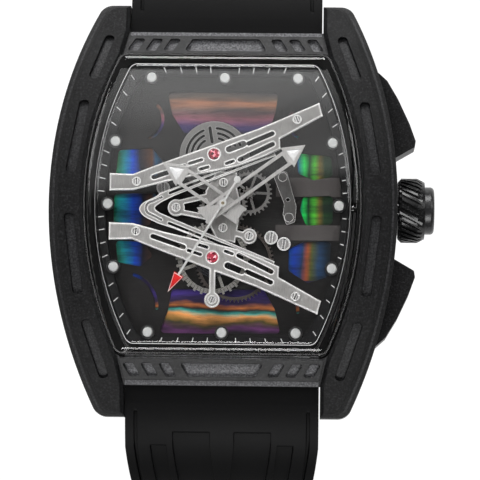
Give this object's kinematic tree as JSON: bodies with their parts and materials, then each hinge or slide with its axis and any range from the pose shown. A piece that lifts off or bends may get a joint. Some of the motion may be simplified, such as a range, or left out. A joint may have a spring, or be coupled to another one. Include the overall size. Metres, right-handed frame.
{
  "type": "wristwatch",
  "caption": "Tonneau skeleton wristwatch with a raised box crystal, slotted matte black case, side crown with pushers either side, and a black rubber strap closed by a pin buckle",
  "frame": {"origin": "middle of the flat underside of the fixed keeper, on the surface that the closed strap stands on, straight under the middle of the dial", "axes": "+Z out of the dial, +Y towards 12 o'clock, +X towards 3 o'clock and the crown"},
  "size_m": [0.0475, 0.0806, 0.0675],
  "materials": {
    "case_black": "matte black coating",
    "plate_black": "matte black with a fine woven grain",
    "crystal_glass": "clear sapphire",
    "gasket_rubber": "black",
    "flange_black": "black with white minute lines",
    "cup_steel": "polished",
    "lume": "pale luminous paint",
    "dial_smoke": "smoky grey",
    "film": "iridescent film",
    "plate_grey": "grey",
    "ring_dark": "dark",
    "back_black": "matte black",
    "screw_steel": "polished",
    "bridge_steel": "brushed with polished edges",
    "jewel_pink": "pink ruby",
    "stem_steel": "plain steel",
    "rotor_dark": "grey",
    "wheel_steel": "brushed",
    "wheel_brass": "pale gilt",
    "hand_steel": "polished with white paint",
    "hand_red": "grey needle with red tip",
    "crown_black": "dark grey",
    "pusher_black": "matte black",
    "strap_rubber": "black",
    "buckle_black": "dark brushed"
  },
  "bodies": {
    "watch": {"back_crystal": "crystal_glass", "bridge_jewels": "jewel_pink", "bridge_pillars": "screw_steel", "bridge_screws": "screw_steel", "case_middle": "case_black", "caseback": "back_black", "caseback_screws": "screw_steel", "centre_bridge": "bridge_steel", "crown_tube": "stem_steel", "crystal": "crystal_glass", "dial_plate": "dial_smoke", "end_plate_bottom": "plate_black", "end_plate_top": "plate_black", "fixed_keeper": "strap_rubber", "flange_ring": "flange_black", "gaskets": "gasket_rubber", "hairpin_bridge": "bridge_steel", "hour_cups": "cup_steel", "index_ring": "ring_dark", "lever_bridge": "plate_grey", "lower_bridge": "bridge_steel", "lume_dots": "lume", "main_plate": "plate_grey", "movement_ring": "ring_dark", "rainbow_film": "film", "rotor_bearing": "rotor_dark", "side_plate_left": "plate_black", "side_plate_right": "plate_black", "spring_bars": "stem_steel", "strap_12": "strap_rubber", "strap_6": "strap_rubber", "train_bridge": "plate_grey", "upper_bridge": "bridge_steel"},
    "minute_body": {"minute_hand": "hand_steel", "cannon_pinion": "hand_steel", "centre_wheel": "wheel_brass"},
    "hour_body": {"hour_hand": "hand_steel", "hour_wheel": "wheel_brass"},
    "seconds_body": {"seconds_hand": "hand_red", "fourth_wheel": "wheel_brass"},
    "barrel_body": {"barrel": "wheel_brass", "ratchet_disc": "wheel_steel", "mainspring": "wheel_steel"},
    "third_body": {"third_wheel": "wheel_brass"},
    "minute_wheel_body": {"minute_wheel": "wheel_brass"},
    "escape_body": {"escape_wheel": "wheel_brass"},
    "pallet_body": {"pallet_fork": "wheel_brass"},
    "balance_body": {"balance_wheel": "wheel_steel", "balance_staff": "stem_steel", "hairspring": "wheel_steel"},
    "rotor_body": {"rotor": "rotor_dark"},
    "setting_body": {"setting_lever": "stem_steel"},
    "crown_body": {"crown": "crown_black", "crown_cap": "crown_black", "stem": "stem_steel"},
    "pusher_upper_body": {"pusher_upper": "pusher_black"},
    "pusher_lower_body": {"pusher_lower": "pusher_black"},
    "buckle_body": {"buckle_frame": "buckle_black"},
    "tang_body": {"tang": "buckle_black"},
    "keeper_body": {"free_keeper": "strap_rubber"}
  },
  "joints": [
    {"name": "seconds_turn", "type": "hinge", "parent": "watch", "child": "seconds_body", "pos_m": [0, 0, 0.0605], "axis": [0, 0, 1], "continuous": true},
    {"name": "minute_turn", "type": "hinge", "parent": "watch", "child": "minute_body", "pos_m": [0, 0, 0.0605], "axis": [0, 0, 1], "continuous": true},
    {"name": "hour_turn", "type": "hinge", "parent": "watch", "child": "hour_body", "pos_m": [0, 0, 0.0605], "axis": [0, 0, 1], "continuous": true},
    {"name": "third_wheel_turn", "type": "hinge", "parent": "watch", "child": "third_body", "pos_m": [0.00522, 0.00352, 0.0605], "axis": [0, 0, 1], "continuous": true},
    {"name": "minute_wheel_turn", "type": "hinge", "parent": "watch", "child": "minute_wheel_body", "pos_m": [0.00318, 0.00169, 0.0605], "axis": [0, 0, 1], "continuous": true},
    {"name": "barrel_turn", "type": "hinge", "parent": "watch", "child": "barrel_body", "pos_m": [-0.00121, 0.0062, 0.0605], "axis": [0, 0, 1], "continuous": true},
    {"name": "escape_turn", "type": "hinge", "parent": "watch", "child": "escape_body", "pos_m": [-0.0039, -0.00359, 0.0605], "axis": [0, 0, 1], "continuous": true},
    {"name": "pallet_rock", "type": "hinge", "parent": "watch", "child": "pallet_body", "pos_m": [-0.0026, -0.00505, 0.0605], "axis": [0, 0, 1], "range_deg": [-5, 5], "stiffness_Nm_per_rad": 0.000001},
    {"name": "balance_swing", "type": "hinge", "parent": "watch", "child": "balance_body", "pos_m": [-0.00124, -0.0065, 0.0605], "axis": [0, 0, 1], "range_deg": [-150, 150], "stiffness_Nm_per_rad": 0.000001},
    {"name": "rotor_turn", "type": "hinge", "parent": "watch", "child": "rotor_body", "pos_m": [0, 0, 0.0605], "axis": [0, 0, 1], "continuous": true},
    {"name": "crown_pull", "type": "slide", "parent": "watch", "child": "setting_body", "axis": [1, 0, 0], "range_m": [0, 0.0012]},
    {"name": "crown_turn", "type": "hinge", "parent": "setting_body", "child": "crown_body", "pos_m": [0.02, 0, 0.0588], "axis": [1, 0, 0], "continuous": true},
    {"name": "pusher_upper_press", "type": "slide", "parent": "watch", "child": "pusher_upper_body", "axis": [-1, 0, 0], "range_m": [0, 0.0008], "stiffness_N_per_m": 500},
    {"name": "pusher_lower_press", "type": "slide", "parent": "watch", "child": "pusher_lower_body", "axis": [-1, 0, 0], "range_m": [0, 0.0008], "stiffness_N_per_m": 500},
    {"name": "buckle_swing", "type": "hinge", "parent": "watch", "child": "buckle_body", "pos_m": [0, -0.008, 0.006], "axis": [1, 0, 0], "range_deg": [0, 8]},
    {"name": "tang_swing", "type": "hinge", "parent": "buckle_body", "child": "tang_body", "pos_m": [0, -0.008, 0.006], "axis": [1, 0, 0], "range_deg": [0, 8]},
    {"name": "keeper_slide", "type": "slide", "parent": "watch", "child": "keeper_body", "axis": [0, 1, 0], "range_m": [-0.0035, 0.004]}
  ],
  "couplings": [
    {"joint": "minute_turn", "follows": "seconds_turn", "ratio": 0.016667},
    {"joint": "hour_turn", "follows": "seconds_turn", "ratio": 0.0013889},
    {"joint": "third_wheel_turn", "follows": "seconds_turn", "ratio": -0.13333},
    {"joint": "minute_wheel_turn", "follows": "seconds_turn", "ratio": -0.0055556},
    {"joint": "barrel_turn", "follows": "seconds_turn", "ratio": -0.0072727},
    {"joint": "escape_turn", "follows": "seconds_turn", "ratio": -10}
  ]
}
